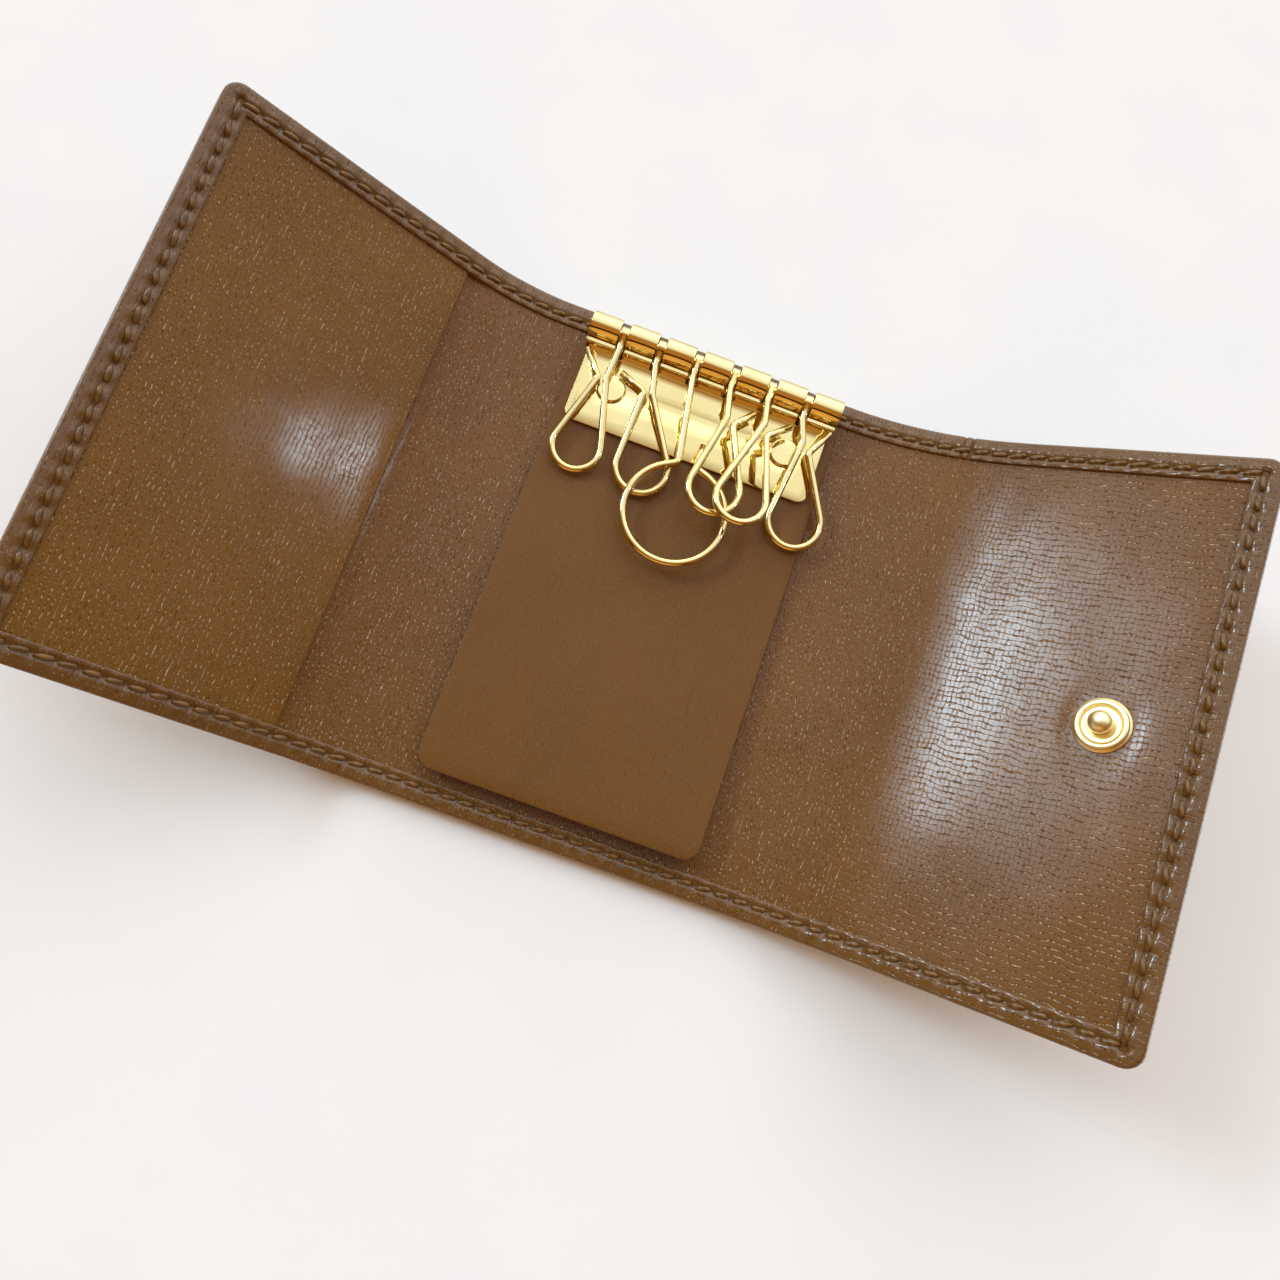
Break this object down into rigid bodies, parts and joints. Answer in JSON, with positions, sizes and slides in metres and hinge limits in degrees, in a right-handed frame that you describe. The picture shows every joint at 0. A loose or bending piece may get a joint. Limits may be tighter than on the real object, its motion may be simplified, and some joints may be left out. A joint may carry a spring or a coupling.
{
  "type": "trifold key case",
  "caption": "Folding leather key case with a hinged row of sprung wire key hooks on a brass rail, a slip pocket and a snap closure, open with its wings raised.",
  "frame": {"origin": "middle of the centre panel's outer face, the face that rests on a table", "axes": "+X along the hook rail from the pocket wing to the snap wing, +Y along the folds toward the hook rail, +Z out of the inner face"},
  "size_m": [0.1858, 0.1, 0.0397],
  "materials": {
    "outer_leather": "fine embossed grain, semi-gloss brown",
    "lining_leather": "fine embossed grain, semi-gloss brown",
    "tongue_leather": "smooth brown, painted edge",
    "stiff_board": "pressed fibre board",
    "gold_plate": "mirror polished pale gold",
    "gold_wire": "polished pale gold",
    "gold_snap": "polished pale gold",
    "plain_steel": "drawn wire"
  },
  "bodies": {
    "centre": {"centre_cover": "outer_leather", "centre_board": "stiff_board", "centre_lining": "lining_leather", "tongue_root": "tongue_leather", "hook_plate": "gold_plate", "hinge_pin": "plain_steel", "plate_rivets": "gold_plate", "rivet_washers": "gold_plate"},
    "left_spine": {"left_spine_cover": "outer_leather", "left_spine_lining": "lining_leather"},
    "left_wing": {"left_cover": "outer_leather", "left_lining": "lining_leather", "pocket_panel": "lining_leather", "snap_socket": "gold_snap", "socket_spring": "plain_steel", "socket_rivet": "gold_snap"},
    "right_spine": {"right_spine_cover": "outer_leather", "right_spine_lining": "lining_leather"},
    "right_wing": {"right_cover": "outer_leather", "right_board": "stiff_board", "right_lining": "lining_leather", "snap_stud": "gold_snap", "stud_post": "gold_snap"},
    "tongue": {"tongue_flap": "tongue_leather"},
    "hook_1": {"key_hook_1": "gold_wire"},
    "hook_2": {"key_hook_2": "gold_wire"},
    "hook_3": {"key_hook_3": "gold_wire"},
    "hook_4": {"key_hook_4": "gold_wire"},
    "hook_5": {"key_hook_5": "gold_wire"},
    "hook_6": {"key_hook_6": "gold_wire"}
  },
  "joints": [
    {"name": "left_fold", "type": "hinge", "parent": "centre", "child": "left_spine", "pos_m": [-0.0352, 0, 0.0031], "axis": [0, 1, 0], "range_deg": [-17, 73]},
    {"name": "left_wing_fold", "type": "hinge", "parent": "left_spine", "child": "left_wing", "pos_m": [-0.04476, 0, 0.00602], "axis": [0, 1, 0], "range_deg": [-17, 73]},
    {"name": "right_fold", "type": "hinge", "parent": "centre", "child": "right_spine", "pos_m": [0.0352, 0, 0.0031], "axis": [0, -1, 0], "range_deg": [-18.6, 71.4]},
    {"name": "right_wing_fold", "type": "hinge", "parent": "right_spine", "child": "right_wing", "pos_m": [0.05131, 0, 0.00852], "axis": [0, -1, 0], "range_deg": [-18.6, 71.4]},
    {"name": "tongue_lift", "type": "hinge", "parent": "centre", "child": "tongue", "pos_m": [0, 0.027, 0.0036], "axis": [-1, 0, 0], "range_deg": [-2, 2.5]},
    {"name": "hook_1_swing", "type": "hinge", "parent": "centre", "child": "hook_1", "pos_m": [-0.01875, 0.04595, 0.0059], "axis": [-1, 0, 0], "range_deg": [0, 170]},
    {"name": "hook_2_swing", "type": "hinge", "parent": "centre", "child": "hook_2", "pos_m": [-0.01125, 0.04595, 0.0059], "axis": [-1, 0, 0], "range_deg": [0, 170]},
    {"name": "hook_3_swing", "type": "hinge", "parent": "centre", "child": "hook_3", "pos_m": [-0.00375, 0.04595, 0.0059], "axis": [-1, 0, 0], "range_deg": [0, 170]},
    {"name": "hook_4_swing", "type": "hinge", "parent": "centre", "child": "hook_4", "pos_m": [0.00375, 0.04595, 0.0059], "axis": [-1, 0, 0], "range_deg": [0, 170]},
    {"name": "hook_5_swing", "type": "hinge", "parent": "centre", "child": "hook_5", "pos_m": [0.01125, 0.04595, 0.0059], "axis": [-1, 0, 0], "range_deg": [0, 170]},
    {"name": "hook_6_swing", "type": "hinge", "parent": "centre", "child": "hook_6", "pos_m": [0.01875, 0.04595, 0.0059], "axis": [-1, 0, 0], "range_deg": [0, 170]}
  ],
  "couplings": [
    {"joint": "left_wing_fold", "follows": "left_fold", "ratio": 1},
    {"joint": "right_wing_fold", "follows": "right_fold", "ratio": 1},
    {"joint": "hook_2_swing", "follows": "hook_3_swing", "ratio": 1},
    {"joint": "hook_4_swing", "follows": "hook_3_swing", "ratio": 1},
    {"joint": "hook_5_swing", "follows": "hook_3_swing", "ratio": 1}
  ]
}
